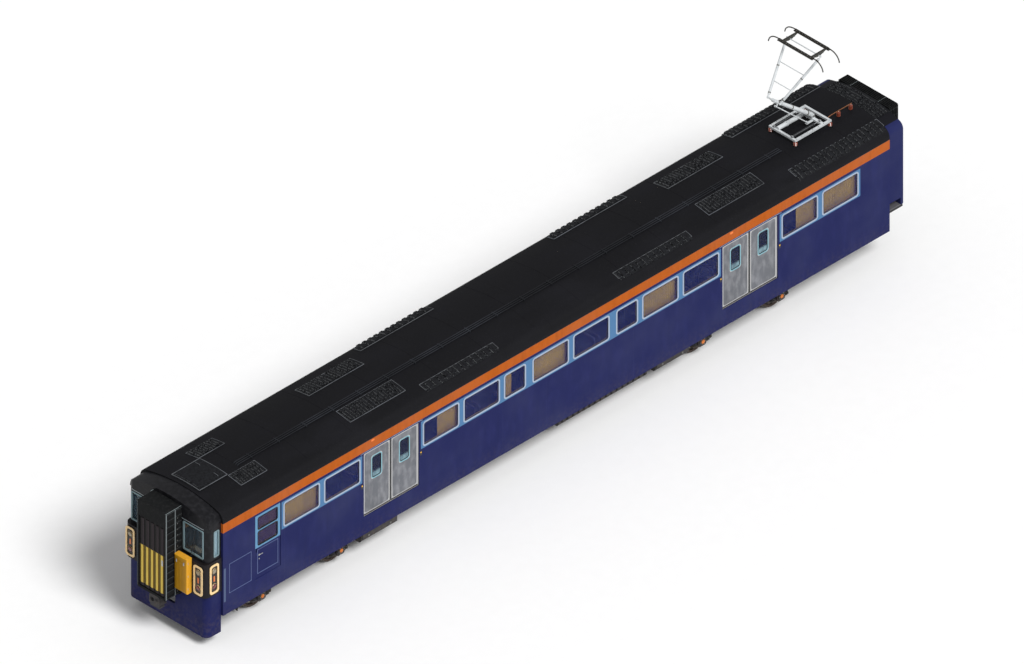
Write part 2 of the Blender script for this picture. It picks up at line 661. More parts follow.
door_glass = Finish("door_glass")
wiped = door_glass.cloud(6.0, 0.3, 0.75, (1, 1, 0.6), 5.0)
cast = (1 - door_glass.ramp(door_glass.z, 2.33, 2.43)) * (0.5 + wiped * 0.5)
door_glass.close(
    Base_Color=door_glass.mix(cast, tint(14, 26, 62), tint(138, 172, 182)),
    Roughness=0.05 + wiped * 0.1,
    Alpha=0.55 + cast * 0.3,
    Specular_IOR_Level=0.2,
)
trim_finish = rubber("door_rubber", tint(24, 24, 26))
teal_finish = enamelled("door_window_frame_paint", tint(126, 172, 184), 0.36, 0.1, 0.1)
leaf_face = body_half - 0.035
sill_z = floor_z + 0.005
head_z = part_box("door_1_left_fore")[1].z - 0.065
LIGHT_WIDE, LIGHT_HIGH, LIGHT_RADIUS, LIGHT_Z = 0.3, 0.6, 0.06, 2.53
light_gasket = [(0.0, 0.016), (0.0, 0.0165), (-0.014, 0.0165), (-0.016, 0.006), (0.0, 0.006)]
light_frame = [(0.031, 0.0155), (0.029, 0.0185), (0.004, 0.0185), (0.0005, 0.0155)]
for leaf in leaf_names:
    number, hand, end = leaf.split("_")[1:]
    side = 1 if hand == "left" else -1
    lead = 1 if end == "fore" else -1
    meeting = behind(doorways[int(number) - 1])
    middle = (meeting + lead * DOORWAY / 4, side * (leaf_face - 0.016), LIGHT_Z)
    facing = -X_AXIS * side
    light = (middle, facing, Z_AXIS, LIGHT_WIDE, LIGHT_HIGH, LIGHT_RADIUS)
    pane = plate(middle, facing, Z_AXIS, LIGHT_WIDE - 0.004, LIGHT_HIGH - 0.004, 0.006, 0.058, 0.001)
    piece(leaf + "_glass", [pane], door_glass.material, leaf)
    trim_y = side * (leaf_face - 0.002)
    nosing_at = (meeting + lead * 0.0165, trim_y, (sill_z + head_z) / 2)
    nosing = plate(nosing_at, facing, Z_AXIS, 0.024, head_z - sill_z - 0.02, 0.0055, 0.008)
    sweep = plate((meeting + lead * 0.46, trim_y, sill_z + 0.022), facing, Z_AXIS, 0.86, 0.03, 0.005, 0.006)
    piece(leaf + "_rubber", [seal(*light, light_gasket), nosing, sweep], trim_finish, leaf)
    piece(leaf + "_window_frame", [seal(*light, light_frame)], teal_finish, leaf)


# ---- Cab door glass and handles --------------------------------------
# Two fixed panes in rubber, and a lever handle that sits in the pressed panel.
def square_to(way, lean):
    """Two directions square to a way and to each other; the first is square to lean too, and one long."""
    first = np.cross(way, lean)
    first = first / np.linalg.norm(first, axis=-1, keepdims=True)
    return first, np.cross(way, first)


def least(way):
    """The axis that the ways lean on least."""
    return np.eye(3)[np.abs(way).reshape(-1, 3).max(0).argmin()]


def circle(first, second, sides):
    """Points round a circle of radius one: the cosine of each angle along first and its sine along
    second."""
    angle = np.arange(sides) * 2 * math.pi / sides
    return np.cos(angle)[:, None] * first[..., None, :] + np.sin(angle)[:, None] * second[..., None, :]


def turned(centre, axis, profile, sides=20):
    """Shape turned about an axis: at each (radius, rise) of the profile a circle of that radius, lifted by
    that much."""
    axis = np.array(axis, float)
    radius, rise = np.array(profile, float).T
    ring = circle(*square_to(axis, Y_AXIS if abs(axis[1]) < 0.9 else X_AXIS), sides)
    grid = radius[:, None, None] * ring + rise[:, None, None] * axis
    return skin(np.asarray(centre, float).reshape(-1, 1, 1, 3) + grid, round_v=True, ends=True)


def eased(corners, radius, steps=4):
    """Path through corners, each rounded by a curve that leaves one run and meets the next a radius from
    the corner: (1-t)^2 of the first point, 2t(1-t) of the corner and t^2 of the last."""
    corners = np.array(corners, float)
    run = np.diff(corners, axis=0)
    run /= np.linalg.norm(run, axis=1)[:, None]
    share = np.linspace(0, 1, steps + 1)[None, :, None]
    before = (corners[1:-1] - radius * run[:-1])[:, None]
    after = (corners[1:-1] + radius * run[1:])[:, None]
    arcs = (1 - share) ** 2 * before + 2 * share * (1 - share) * corners[1:-1, None] + share**2 * after
    return np.concatenate([corners[:1], arcs.reshape(-1, 3), corners[-1:]])


def tube(path, radius, sides=8):
    """Round tube: at each point of the path a circle square to the way the path runs there. The circle's
    first diameter starts square to the axis that the path leans on least."""
    path = np.array(path, float)
    way = np.gradient(path, axis=-2)
    way /= np.linalg.norm(way, axis=-1, keepdims=True)
    ring = radius * circle(*square_to(way, least(way)), sides)
    return skin(path[..., None, :] + ring, round_v=True, ends=True)


def bent(corners, bend, radius, sides=8):
    """Tube through corners, each eased by bend."""
    return tube(eased(corners, bend), radius, sides)


def bare_metal(name, colour, rough=0.35, metallic=0.8):
    """Bright metal: fine scratches, finger marks in clouds and a duller bloom in the marks."""
    finish = Finish(name)
    mark = finish.cloud(12.0, 0.4, 0.8)
    return finish.close(
        Base_Color=finish.mix(mark * 0.4, colour, tint(90, 90, 92)),
        Metallic=metallic - mark * 0.2,
        Roughness=rough + mark * 0.2,
        Normal=finish.bump(finish.noise(60.0, (1, 1, 9), 3.0), 0.0001),
    )


handle_finish = bare_metal("handle_steel", tint(176, 178, 180))
cab_face = cab_high.y
cab_mid = (cab_low.x + 0.001 + cab_high.x) / 2
cab_wide = cab_high.x - cab_low.x - 0.18
sash_bead = [(0.012, 0.0295), (0.010, 0.034), (-0.010, 0.034)]
sash_bead += [(-0.014, 0.006), (-0.0005, 0.006), (-0.0005, 0.0295)]
for hand, side in (("left", 1), ("right", -1)):
    facing = -X_AXIS * side
    body = f"cab_door_{hand}"
    panes, rims = [], []
    for low, high in ((2.207, 2.603), (2.657, 3.0)):
        middle = (cab_mid, side * (cab_face - 0.03), (low + high) / 2)
        wide, tall = cab_wide - 0.004, high - low - 0.004
        panes.append(plate(middle, facing, Z_AXIS, wide, tall, 0.006, 0.043, 0.001))
        rims.append(seal(middle, facing, Z_AXIS, cab_wide, high - low, 0.045, sash_bead))
    piece(f"{body}_glass", panes, glass_finish, body)
    piece(f"{body}_seals", rims, seal_finish, body)
    pivot = np.array([cab_high.x - 0.13, side * (cab_face - 0.001), 1.93])
    out = Y_AXIS * side
    boss = turned(pivot, out, [(0.026, 0), (0.026, 0.005), (0.022, 0.0065), (0.008, 0.0068)])
    lever = plate(pivot + (-0.055, side * 0.0035, 0), facing, Z_AXIS, 0.13, 0.022, 0.007, 0.009)
    lock = turned(pivot + (0, 0, -0.11), out, [(0.018, 0), (0.018, 0.004), (0.005, 0.0045)])
    piece(f"{body}_handle", [boss, lever, lock], handle_finish, body)


# ---- Door controls, drips and sills ----------------------------------
# Beside each doorway a push button in a round bezel, over it a drip strip and a body light, and in it a
# ribbed aluminium tread on the floor's edge.
def laminate(name, colour, shadow, rough=0.45):
    """Matt laminate or moulding: faint mottling, hand dirt in clouds and a fine leather grain."""
    finish = Finish(name)
    mottle = finish.cloud(6.0, 0.35, 0.8, detail=5.0)
    grain = finish.node("ShaderNodeTexVoronoi", {}, {"Vector": finish.place, "Scale": 700.0})
    return finish.close(
        Base_Color=finish.mix(mottle * 0.5, colour, shadow),
        Roughness=rough + mottle * 0.2,
        Normal=finish.bump(grain, 0.0002),
        Specular_IOR_Level=0.4,
    )


control_finish = laminate("button_plate_moulding", tint(30, 31, 34), tint(52, 52, 56), 0.4)
button_finish = laminate("button_moulding", tint(232, 176, 40), tint(196, 140, 30), 0.35)
amber_lens = laminate("body_light_lens", tint(236, 120, 40), tint(190, 90, 34), 0.2)
sill_finish = bare_metal("sill_aluminium", tint(150, 152, 154), 0.4, 0.7)
BUTTON = [(0.021, 0), (0.021, 0.003), (0.018, 0.0042), (0.004, 0.0046)]
plates, buttons, drips, lights, treads = [], [], [], [], []
for centre in behind(np.array(doorways)):
    for way in (-1, 1):
        at = np.array([centre + way * (DOORWAY / 2 + 0.055), body_half - 0.001, 2.17])
        plates.append(plate(at, -X_AXIS, Z_AXIS, 0.062, 0.13, 0.004, 0.02))
        buttons.append(turned(at + (0, 0.002, 0.022), Y_AXIS, BUTTON))
    drip_x = centre + np.array([-1.02, -0.97, 0.97, 1.02])
    drips.append(bent(places(drip_x, body_half + 0.0005, [3.096, 3.112, 3.112, 3.096]), 0.02, 0.005))
    light = (centre + 0.62, body_half - 0.001, 3.34)
    lights.append(plate(light, -X_AXIS, Z_AXIS, 0.11, 0.06, 0.0065, 0.028, 0.003))
    lines = places(centre, body_half - 0.021 - np.arange(8) * 0.0115, floor_z - 0.001)
    treads.append(plate(lines, X_AXIS, Y_AXIS, DOORWAY - 0.02, 0.006, 0.004, 0.0028))
piece("door_button_plates", both_hands(*plates), control_finish)
piece("door_buttons", both_hands(*buttons), button_finish)
piece("door_drip_strips", both_hands(*drips), pale_finish)
piece("body_lights", both_hands(*lights), amber_lens)
piece("doorway_treads", both_hands(*treads), sill_finish)


# ---- Wipers, lenses and box fittings ---------------------------------
# Each windscreen has a pressed steel wiper arm on a spindle below the glass. Each lamp is a moulded lens
# behind a rubber ring, and the jumper box has pressed hinges and two toggle catches.
wiper_finish = laminate("wiper_paint", tint(26, 27, 30), tint(54, 55, 58), 0.45)
spindle = np.array([nose_x - 0.002, 0.80, 2.468])
elbow = spindle + (0.02, 0.10, 0.42)
boss = turned(spindle, X_AXIS, [(0.024, 0), (0.024, 0.026), (0.016, 0.034), (0.016, 0.042), (0.006, 0.045)])
arm = bent(spindle + [(0.034, 0, 0), (0.036, 0.02, 0.10), (0.026, 0.10, 0.42)], 0.03, 0.0075)
link = tube(elbow + [(0.002, -0.014, 0), (0.002, 0.014, 0)], 0.007)
yoke = bent(elbow + [(0, 0, -0.22), (0.012, 0, -0.10), (0.012, 0, 0.10), (0, 0, 0.22)], 0.03, 0.004)
blade = plate(elbow + (-0.011, 0, 0), Y_AXIS, Z_AXIS, 0.014, 0.70, 0.012, 0.006)
piece("wipers", both_hands(boss, arm, link, yoke, blade), wiper_finish)

lamp_low, lamp_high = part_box("lamp_clusters")
lamp_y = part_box("cab_skirt")[1].y - 0.18
lamp_z = (lamp_low.z + lamp_high.z) / 2
lens_finish = Finish("lamp_lens")
rings = lens_finish.noise(90.0, detail=1.0)
upper = lens_finish.z > lamp_z
lens_finish.close(
    Base_Color=lens_finish.mix(upper, tint(96, 20, 16), tint(128, 116, 92)),
    Roughness=0.08 + rings * 0.08,
    Emission_Color=lens_finish.mix(upper, tint(60, 8, 6), tint(84, 76, 58)),
    Emission_Strength=0.3,
    Coat_Weight=0.6 + rings * 0.2,
)
turns = 1.5 * np.linspace(0, 1, 12)
dome = np.stack([0.062 * np.cos(turns), 0.012 + 0.010 * np.sin(turns) + 0.0022 * (np.arange(12) % 2)], 1)
LENS = [(0.067, 0.0), (0.067, 0.012), *dome]
LENS_RING = [(0.066, 0.004), (0.066, 0.016), (0.072, 0.019)]
LENS_RING += [(0.080, 0.019), (0.0805, 0.016), (0.0805, 0.004)]
pair = np.array([[0, 0, 0.215], [0, 0, -0.215]])
front_lamp = (band_front + 0.008, lamp_y, lamp_z)
side_lamp = (behind(0.21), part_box("lamp_band")[1].y + 0.008, lamp_z)


def hoop(centre, axis, section, sides=28):
    """Ring turned about an axis: the closed section of (radius, rise) points carried round it."""
    points, _ = turned(centre, axis, section, sides)
    return skin(points.reshape(-1, len(section), sides, 3), round_u=True, round_v=True)


lamps = ((pair + front_lamp, X_AXIS), (pair + side_lamp, Y_AXIS))
lenses = both_hands(*[turned(at, axis, LENS, 32) for at, axis in lamps])
piece("lamp_lenses", lenses, lens_finish.material, crease=25)
lens_rings = both_hands(*[hoop(at, axis, LENS_RING) for at, axis in lamps])
piece("lamp_rings", lens_rings, seal_finish)
amber_finish = laminate("lamp_centre_lens", tint(214, 118, 60), tint(170, 84, 44), 0.25)
faces = ((front_lamp, Y_AXIS), (side_lamp, -X_AXIS))
bars = [plate(at, across, Z_AXIS, 0.05, 0.16, 0.01, 0.02) for at, across in faces]
piece("lamp_centres", both_hands(*bars), amber_finish)

box_mid = (box_low.y + box_high.y) / 2
catch_at = places(box_high.x - 0.001, box_mid + np.array([-0.12, 0.12]), box_high.z - 0.15)
catches = plate(catch_at, Y_AXIS, Z_AXIS, 0.034, 0.085, 0.014, 0.008)
toggles = plate(catch_at + (0.012, 0, 0.006), Y_AXIS, Z_AXIS, 0.018, 0.055, 0.010, 0.006)
hinge_at = places(box_high.x - 0.05, box_high.y - 0.002, box_high.z - 0.12 - 0.36 * np.arange(3))
box_hinges = tube(np.stack([hinge_at - (0, 0, 0.03), hinge_at + (0, 0, 0.03)], 1), 0.008, 10)
piece("jumper_box_catches", [catches, toggles, box_hinges], handle_finish)
stiffener_at = places(box_high.x - 0.001, box_mid + np.array([-0.11, 0, 0.11]), box_low.z + 0.40)
stiffeners = plate(stiffener_at, Y_AXIS, Z_AXIS, 0.045, 0.62, 0.006, 0.02, 0.004)
piece("jumper_box_ribs", [stiffeners], box_finish.material)


# ---- Gangway fittings ------------------------------------------------
# Hexagon bolts hold the face plate and the flange. The end door has a round handle on an escutcheon near
# its closing edge.
BOLT = [(0.011, 0.0), (0.011, 0.007), (0.0095, 0.0085), (0.003, 0.009)]
SUNK_BOLT = [(radius, rise - 0.0085) for radius, rise in BOLT]
bolt_finish = bare_metal("bolt_zinc", tint(128, 128, 124), 0.5, 0.6)
rise = np.arange(1.36, 3.6, 0.16)
uprights = [places(gangway_front - 0.0005, side * 0.445, rise) for side in (-1, 1)]
crown = places(gangway_front - 0.0005, np.arange(-0.36, 0.37, 0.12), 3.50)
flange = []
for side in (1, -1):
    flange.append(turned(places(nose_x + 0.14, side * 0.4745, rise[:-1]), side * Y_AXIS, BOLT, 6))
face_bolts = turned(np.concatenate([*uprights, crown]), X_AXIS, SUNK_BOLT, 6)
piece("gangway_bolts", [*flange, face_bolts], bolt_finish)
grip = np.array([leaf_high.x - 0.002, leaf_high.y - 0.07, 2.26])
escutcheon = plate(grip, Y_AXIS, Z_AXIS, 0.05, 0.17, 0.005, 0.02)
knob = turned(grip + (0.004, 0, 0.03), X_AXIS, [(0.012, 0), (0.012, 0.002), (0.017, 0.003)], 14)
piece("gangway_door_handle", [escutcheon, knob], handle_finish, "gangway_door")


# ---- Roof fittings ---------------------------------------------------
# Riveted gutter angle over the stripe, thin pressed rims round the vents and the hatch, and conduits in
# saddles that run back to the collector.
crown_z, shoulder_y, shoulder_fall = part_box("roof")[1].z, body_half - 0.19, 0.16
arc = (shoulder_y**2 + shoulder_fall**2) / (2 * shoulder_fall)


def roof_top(y):
    """Height of the roof sheet at a distance from the centre line: the crown's arc, whose radius comes from
    its fall to the shoulder."""
    return crown_z - arc + np.sqrt(arc**2 - np.square(y))


def roof_path(points):
    """Path on the roof: points as distance behind the skirt face, distance from the centre line and height
    above the sheet."""
    away, y, lift = np.array(points, float).T
    return np.stack([behind(away), y, roof_top(y) + lift], -1)


def roof_rim(start, end, y0, y1, lift, steps, radius):
    """Four tubes round a rectangle on the roof, each with as many steps to follow the arc."""
    corners = [(start, y0, lift), (end, y0, lift), (end, y1, lift), (start, y1, lift)]
    share = np.linspace(0, 1, steps)[:, None]
    runs = zip(np.array(corners), np.array(corners[1:] + corners[:1]))
    return [tube(roof_path(first * (1 - share) + last * share), radius, 6) for first, last in runs]


rim_finish = enamelled("vent_rim_paint", tint(92, 94, 97), 0.5, 0.2, 0.0, shadow=tint(34, 35, 38))
vents = [(doorway + place, 0.85, 0.48, 0.90) for doorway in doorways for place in (-0.88, 0.03)]
vents += [(7.373, 2.35, 1.0, 1.16), (13.758, 2.35, 1.0, 1.16), (19.595, 2.85, 0.96, 1.16)]
vents.append((1.55, 0.80, 0.52, 0.90))
rims = []
for start, length, y0, y1 in vents:
    rims += roof_rim(start - 0.03, start + length + 0.03, y0 - 0.03, y1 + 0.015, 0.010, 9, 0.009)
piece("roof_vent_rims", both_hands(*rims), rim_finish)
hatch_rim = roof_rim(0.6, 1.52, -0.46, 0.46, 0.022, 11, 0.010)
for y in (-0.3, 0.3):
    y0, y1 = y - 0.07, y + 0.07
    grab = roof_path([(1.30, y0, 0.018), (1.30, y0, 0.05), (1.30, y1, 0.05), (1.30, y1, 0.018)])
    hatch_rim.append(bent(grab, 0.015, 0.007))
piece("roof_hatch_rim", hatch_rim, rim_finish)

eaves_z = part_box("cantrails")[1].z
gutter_finish = enamelled("gutter_paint", tint(40, 41, 45), 0.5, 0.1, 0.0)
gutter = tube(places(behind(np.array([0.475, main_rear])), body_half - 0.004, eaves_z + 0.004), 0.008)
piece("gutters", both_hands(gutter), gutter_finish)
rivets = places(behind(np.arange(0.62, 22.4, 0.18)), body_half - 0.0015, eaves_z - 0.022)
rivets = turned(rivets, Y_AXIS, [(0.0075, 0.0), (0.006, 0.003), (0.002, 0.0042)], 6)
piece("gutter_rivets", both_hands(rivets), stripe_finish.material)

conduit_finish = enamelled("conduit_paint", tint(26, 27, 30), 0.5, 0.1, 0.0, shadow=tint(40, 41, 44))
conduit_y = 0.30
conduits = []
for y in (conduit_y - 0.06, conduit_y, conduit_y + 0.06):
    run = [(1.95, y, -0.01), (1.98, y, 0.022), (10.0, y, 0.022), (19.9, y, 0.022), (19.93, y, -0.01)]
    conduits.append(bent(roof_path(run), 0.02, 0.013))
saddles = places(behind(np.arange(2.4, 19.8, 0.9)), conduit_y, roof_top(conduit_y) - 0.004)
conduits.append(plate(saddles, Y_AXIS, -X_AXIS, 0.20, 0.035, 0.043, 0.012, 0.004))
piece("roof_conduits", conduits, conduit_finish)
laps = behind(np.arange(1.97, 22.0, LAP_PITCH))[:, None, None]
offset, lift = np.array([(-0.022, -0.002), (-0.020, 0.004), (0.020, 0.004), (0.022, -0.002)]).T
lap_y = np.linspace(-1.15, 1.15, 15)[:, None]
lap_strap = places(laps + offset, lap_y, roof_top(lap_y) + lift)
piece("roof_laps", [skin(lap_strap, round_v=True, ends=True)], roof_finish.material)


# ---- Pantograph ------------------------------------------------------
# A single-arm current collector on four insulators: welded tube arms in pale grey, and dark carbon strips
# with down-turned horns on a sprung head.
arm_finish = enamelled("pantograph_grey", tint(208, 212, 214), 0.38, 0.1, 0.0, 0.3, tint(150, 154, 156))
dress(arm_finish, "panto_base", "panto_lower_arm", "panto_upper_arm", "panto_thrust_rod")
head_finish = Finish("collector_head")
carbon = head_finish.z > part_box("panto_head")[1].z - 0.045
streaks = head_finish.noise(50.0, (1, 0.1, 1), 3.0)
steel = head_finish.mix(streaks, tint(44, 44, 40), tint(66, 66, 60))
head_finish.close(
    Base_Color=head_finish.mix(carbon, steel, head_finish.mix(streaks, tint(30, 28, 26), tint(60, 56, 50))),
    Metallic=0.2,
    Roughness=0.45 + streaks * 0.2,
    Normal=head_finish.bump(streaks, 0.0005),
)
dress(head_finish.material, "panto_head")
glaze_finish = Finish("insulator_glaze")
glaze = glaze_finish.noise(10.0)
glaze_finish.close(
    Base_Color=glaze_finish.mix(glaze, tint(104, 46, 34), tint(140, 70, 50)),
    Roughness=0.16 + glaze * 0.1,
    Coat_Weight=0.4 + glaze * 0.2,
)
dress(glaze_finish.material, "panto_insulators")


# ---- Collector fittings ----------------------------------------------
# A copper busbar on post insulators runs from the collector's base to the rear. Caps close the base pivot,
# a raising spring lies on each side of the base, and clamps, collars and sleeves sit on the arms.
base_low, base_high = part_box("panto_base")
copper = bare_metal("busbar_copper", tint(150, 98, 64), 0.45, 0.8)
busbar_y = 0.30
rail_top = 3.99
SHEDS = [(0.030, 0.0), (0.030, 0.012)]
for shed in range(4):
    SHEDS += [(0.052, 0.024 + shed * 0.03), (0.052, 0.030 + shed * 0.03), (0.026, 0.040 + shed * 0.03)]
SHEDS += [(0.024, 0.150), (0.018, 0.156)]
post_feet = roof_path([(21.85, busbar_y, -0.004), (22.25, busbar_y, -0.004)])
piece("busbar_posts", [turned(post_feet, Z_AXIS, SHEDS, 18)], glaze_finish.material)
bar_z = post_feet[0, 2] + 0.162
bar_x = [base_low.x + 0.02, behind(21.6), behind(22.28)]
bar_path = places(bar_x, busbar_y, [base_low.z + 0.03, bar_z, bar_z])
piece("busbar", [bent(bar_path, 0.06, 0.012, 10)], copper)
bolt_x = np.repeat(np.linspace(base_low.x + 0.06, base_high.x - 0.06, 7), 2)
base_bolts = places(bolt_x, np.tile([-0.415, 0.415], 7), rail_top - 0.001)
piece("collector_base_bolts", [turned(base_bolts, Z_AXIS, BOLT, 6)], bolt_finish)


def coil(start, end, radius, wire, turns, steps=14, sides=6, closed_ends=0.12):
    """Helical spring from start to end: the wire's centre goes round the line between them at the given
    radius while it climbs evenly, and slows to lie flat over the first and last share of its length."""
    start, end = np.array(start, float), np.array(end, float)
    axis = (end - start) / np.linalg.norm(end - start, axis=-1, keepdims=True)
    first, second = square_to(axis, least(axis))
    share = np.linspace(0, 1, int(turns * steps))
    climb = np.interp(share, [0, closed_ends, 1 - closed_ends, 1], [0, 0.04, 0.96, 1])[:, None]
    angle = share[:, None] * turns * 2 * math.pi
    ring = radius * (np.cos(angle) * first[..., None, :] + np.sin(angle) * second[..., None, :])
    return tube(start[..., None, :] + climb * (end - start)[..., None, :] + ring, wire, sides)


def sleeve(start, axis, radius, length, proud, chamfer, sides):
    """Clamp round a tube: a short sleeve that stands proud of it, chamfered at both ends."""
    outline = [(radius, 0), (radius + proud, chamfer), (radius + proud, length - chamfer), (radius, length)]
    return turned(start, axis, outline, sides)


PIVOT, KNEE = np.array([behind(21.24), 0.0, 4.05]), np.array([behind(20.0229), 0.0, 5.0497])
HEAD = np.array([behind(21.0124), 0.0, 6.0960])
KNEE_HALF, HEAD_HALF = 0.20, 0.56  # half the width of the upper arm at its two ends
UPPER_LENGTH, SPREAD_SLOPE = 1.44, 0.245  # of the upper arm, and of its tubes against its middle line
SPRING_Y, SPRING_Z = 0.30, 4.018
spring_finish = laminate("spring_paint", tint(58, 60, 64), tint(34, 35, 38), 0.4)
CAP = [(0.030, 0.0), (0.030, 0.006), (0.024, 0.010), (0.008, 0.012)]
TUBE_END = 0.0995
caps = [turned(PIVOT + side * TUBE_END * Y_AXIS, side * Y_AXIS, CAP, 16) for side in (1, -1)]
piece("pivot_caps", caps, bolt_finish)


def by_pivot(ahead, side):
    """Place on the line of a raising spring, by its distance ahead of the base pivot."""
    return (PIVOT[0] + ahead, side * SPRING_Y, SPRING_Z)


raising = [coil(by_pivot(0.20, side), by_pivot(0.86, side), 0.030, 0.0055, 26, 10) for side in (-1, 1)]
rods = [tube([by_pivot(0.08, side), by_pivot(0.90, side)], 0.009) for side in (-1, 1)]
clamp_y = SPRING_Y * np.array([-1, 1, -1, 1])
clamps = places(PIVOT[0] + np.array([0.0, 0.0, 0.91, 0.91]), clamp_y, rail_top - 0.0005)
rods.append(plate(clamps, X_AXIS, Y_AXIS, 0.05, 0.06, 0.05, 0.012))
piece("raising_springs", raising, spring_finish)
piece("raising_spring_rods", rods, handle_finish)
spread = np.linspace(0.05, 0.95, 12)[:, None]
sleeves = []
for side in (-1, 1):
    foot, top = KNEE + side * KNEE_HALF * Y_AXIS, HEAD + side * HEAD_HALF * Y_AXIS
    sleeves.append(tube(foot * (1 - spread) + top * spread, 0.031, 14))
piece("upper_arm_sleeves", sleeves, arm_finish, "panto_upper")
upper_way = (HEAD - KNEE) / np.linalg.norm(HEAD - KNEE)
lower_way = (KNEE - PIVOT) / np.linalg.norm(KNEE - PIVOT)
collars = []
for along in (0.10, 0.75, 1.30):
    for side in (-1, 1):
        out = side * (KNEE_HALF + (HEAD_HALF - KNEE_HALF) * along / UPPER_LENGTH) * Y_AXIS
        slope = upper_way + side * SPREAD_SLOPE * Y_AXIS
        collars.append(sleeve(KNEE + upper_way * along + out, slope, 0.0305, 0.033, 0.004, 0.003, 14))
piece("upper_arm_collars", collars, bolt_finish, "panto_upper")
bands = [sleeve(PIVOT + lower_way * along, lower_way, radius, 0.044, 0.005, 0.004, 22)
         for along, radius in ((0.16, 0.0595), (0.80, 0.0525), (1.38, 0.0465))]
earth_bolt = turned(PIVOT + lower_way * 0.82 + (0, 0, 0.055), Z_AXIS, BOLT, 6)
piece("lower_arm_bands", [*bands, earth_bolt], bolt_finish, "panto_lower")
spring_feet = np.array([HEAD + (x, side * 0.47, -0.012) for x in (-0.15, 0.15) for side in (-1, 1)])
head_springs = [coil(foot, foot + (0, 0, 0.068), 0.016, 0.0035, 6, 12) for foot in spring_feet]
piece("head_springs", head_springs, spring_finish, "panto_head")
clip_finish = laminate("strip_clip_paint", tint(196, 196, 190), tint(150, 150, 146), 0.4)
strip_x = 0.27
clips = places(HEAD[0], np.linspace(-0.50, 0.50, 11), HEAD[2] + 0.0915)
rows = [plate(clips + (x, 0, 0), X_AXIS, Y_AXIS, 0.040, 0.012, 0.006, 0.003) for x in (-strip_x, strip_x)]
piece("strip_clips", rows, clip_finish, "panto_head")
carriers = places(HEAD[0] + strip_x * np.array([-1, 1]), 0.0, HEAD[2] + 0.0705)
carriers = plate(carriers, Y_AXIS, X_AXIS, 1.16, 0.085, 0.022, 0.012, 0.004)
piece("strip_carriers", [carriers], head_finish.material, "panto_head")


# ---- Running gear ----------------------------------------------------
# Cast and fabricated steel: side frames and motors in a dull black coating, wheels bright on the tread and
# rim.
bogie_finish = dull("bogie_coating", tint(34, 34, 36), 0.66, 0.35)
dress(bogie_finish, "bogie_front_frame", "bogie_rear_frame")
motor_finish = dull("motor_casting", tint(46, 46, 48), 0.72, 0.45, 0.002)
dress(motor_finish, "bogie_front_motors", "bogie_rear_motors", "couplers")
wheel_finish = Finish("wheel_steel")
tread = wheel_finish.between(wheel_finish.side, 0.70, 0.79)
rusty = wheel_finish.mix(wheel_finish.noise(24.0, detail=5.0), tint(78, 58, 46), tint(52, 44, 40))
bright = wheel_finish.mix(wheel_finish.noise(60.0, (1, 6, 1)), tint(150, 148, 144), tint(96, 92, 88))
wheel_finish.close(
    Base_Color=wheel_finish.mix(tread, rusty, bright),
    Metallic=0.3 + tread * 0.5,
    Roughness=0.55 - tread * 0.2,
    Normal=wheel_finish.bump(wheel_finish.noise(120.0), 0.0004),
)
axles = {}
for name in [f"wheelset_{end}_{number}" for end in ("front", "rear") for number in (1, 2)]:
    dress(wheel_finish.material, name)
    low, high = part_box(name)
    axles[name] = (low.x + high.x) / 2
axle_z = (low.z + high.z) / 2


# ---- Underfloor equipment --------------------------------------------
# Sheet steel cases, a finned transformer tank and two air reservoirs hung from the underframe.
case_finish = dull("equipment_case_paint", tint(44, 45, 47), 0.6, 0.2)
dress(case_finish, "underfloor_cases", "transformer")
tank_finish = dull("reservoir_paint", tint(52, 53, 56), 0.5, 0.15)
dress(tank_finish, "air_reservoirs")


# ---- Springs, axlebox covers and brakes ------------------------------
# Helical springs wound round each axlebox's guides, covers held by six bolts round a painted cap, and cast
# brake blocks on hangers just clear of each tread.
wheel_r = axle_z - 0.028
BLOCK_Y = 0.748
cap_finish = laminate("axle_cap_paint", tint(214, 120, 44), tint(150, 82, 34), 0.45)
block_finish = dull("brake_block_iron", tint(66, 58, 52), 0.8, 0.6, 0.002)
AXLE_CAP = [(0.052, 0.0), (0.052, 0.006), (0.046, 0.012), (0.028, 0.017), (0.006, 0.018)]
HANGER = np.array([(0.02, 0, -0.02), (0.05, 0.06, 0.05), (0.03, 0.112, 0.18), (0.03, 0.112, 0.20)])


def brake_block(x, middle, sweep=0.36):
    """Shoe bent round the wheel: a rounded rectangle of radius and width carried through an arc about the
    axle."""
    section = rounded(0.046, 0.084, 0.010, 3)
    angle = middle + np.linspace(-sweep, sweep, 11)[:, None]
    radius = wheel_r + 0.009 + 0.023 + section[:, 0]
    grid = places(x + radius * np.cos(angle), BLOCK_Y + section[:, 1], axle_z + radius * np.sin(angle))
    return skin(grid, round_v=True, ends=True)


